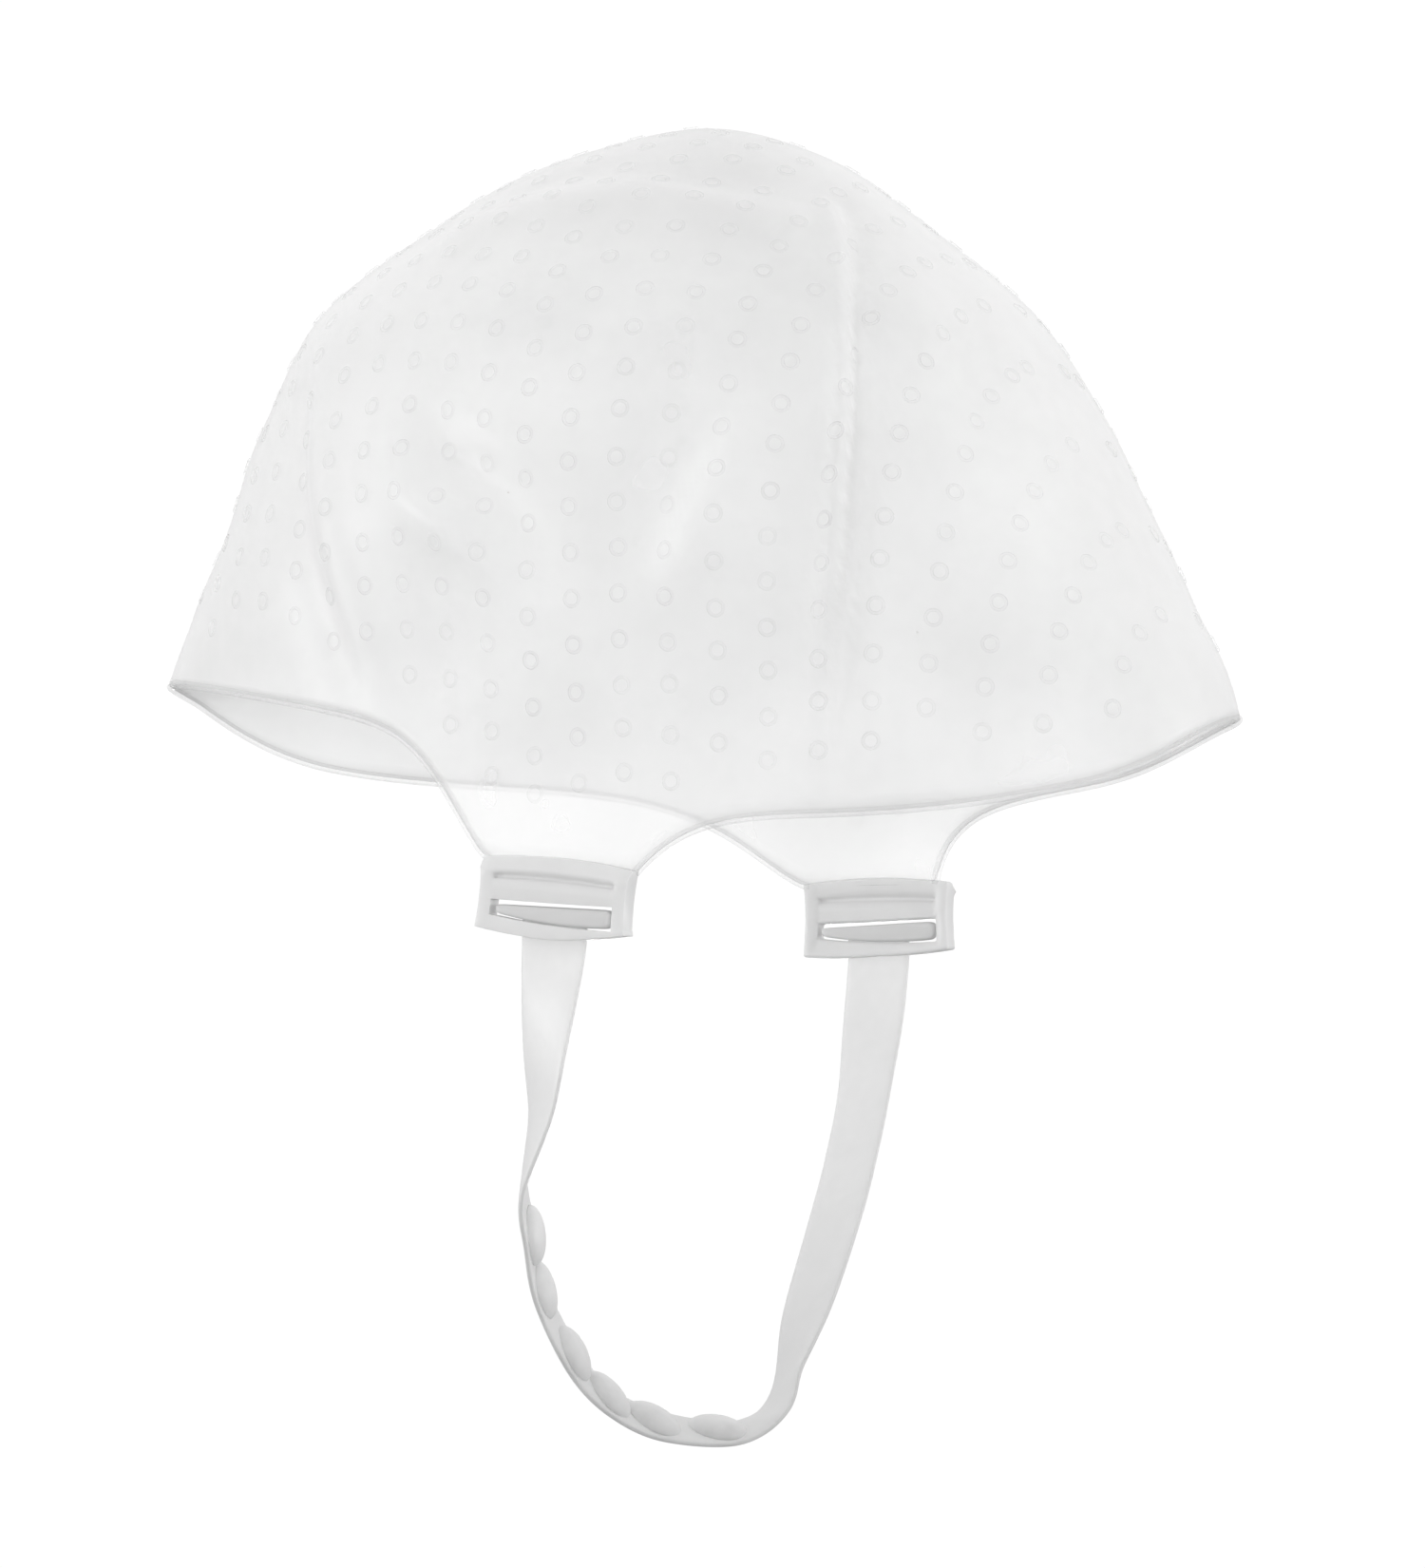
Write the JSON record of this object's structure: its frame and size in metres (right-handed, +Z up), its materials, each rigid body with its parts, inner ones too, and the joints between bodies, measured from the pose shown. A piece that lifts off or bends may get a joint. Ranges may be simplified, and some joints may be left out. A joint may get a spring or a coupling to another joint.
{
  "type": "highlighting cap",
  "caption": "Soft translucent silicone hair-highlighting cap: bell covered in raised pull-through rings, ear tabs ending in slotted buckles, and a padded chin strap.",
  "frame": {"origin": "centre of the head opening, at the height where the cap's longest section ends", "axes": "+Z up through the crown, -X towards the brow, +X towards the nape, -Y towards the wearer's left ear"},
  "size_m": [0.2499, 0.1444, 0.2765],
  "materials": {
    "cap_silicone": "thin moulded silicone, translucent, satin",
    "buckle_silicone": "thick moulded silicone, milky, satin",
    "strap_silicone": "moulded silicone, translucent, satin"
  },
  "bodies": {
    "cap": {"cap_shell": "cap_silicone", "front_rim_bead": "cap_silicone", "nape_rim_bead": "cap_silicone", "pull_through_rings": "cap_silicone", "left_buckle": "buckle_silicone", "right_buckle": "buckle_silicone"},
    "left_bar": {"left_strap_bar": "strap_silicone"},
    "right_bar": {"right_strap_bar": "strap_silicone"},
    "strap": {"chin_strap": "strap_silicone", "strap_pads": "strap_silicone"}
  },
  "joints": [
    {"name": "strap_swing", "type": "hinge", "parent": "cap", "child": "strap", "pos_m": [0.0048, 0, -0.0522], "axis": [0, 1, 0], "range_deg": [-60, 60]},
    {"name": "left_bar_rock", "type": "hinge", "parent": "cap", "child": "left_bar", "pos_m": [0.00484, -0.0675, -0.04118], "axis": [0, 1, 0], "range_deg": [-2.2, 2.2]},
    {"name": "right_bar_rock", "type": "hinge", "parent": "cap", "child": "right_bar", "pos_m": [0.0052, 0.0675, -0.0412], "axis": [0, 1, 0], "range_deg": [-2.2, 2.2]}
  ],
  "couplings": [
    {"joint": "left_bar_rock", "follows": "strap_swing", "ratio": 0.03},
    {"joint": "right_bar_rock", "follows": "strap_swing", "ratio": 0.03}
  ]
}
